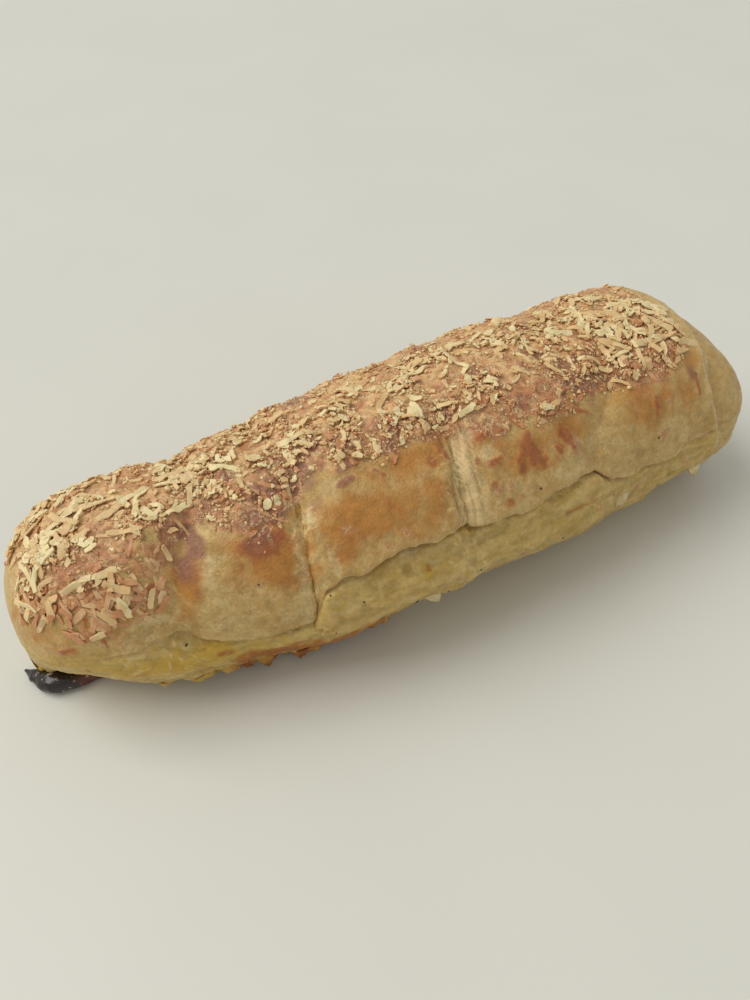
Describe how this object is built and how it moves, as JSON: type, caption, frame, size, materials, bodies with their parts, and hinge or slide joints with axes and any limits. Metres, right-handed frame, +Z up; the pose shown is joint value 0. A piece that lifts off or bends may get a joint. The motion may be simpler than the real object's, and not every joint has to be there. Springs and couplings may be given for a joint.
{
  "type": "cheese straw",
  "caption": "Puff pastry log, scored across, with an open seam along one side and grated cheese baked onto the top.",
  "frame": {"origin": "middle of the footprint of the bounding box, on the surface that the straw lies on", "axes": "+X along the log towards its open-ended tip, +Z up, -Y towards the side with the open seam"},
  "size_m": [0.1726, 0.0552, 0.0482],
  "materials": {
    "baked_pastry": "baked, dry and flaky, with a slight sheen"
  },
  "bodies": {
    "root": {"cheese_straw": "baked_pastry"}
  },
  "joints": []
}
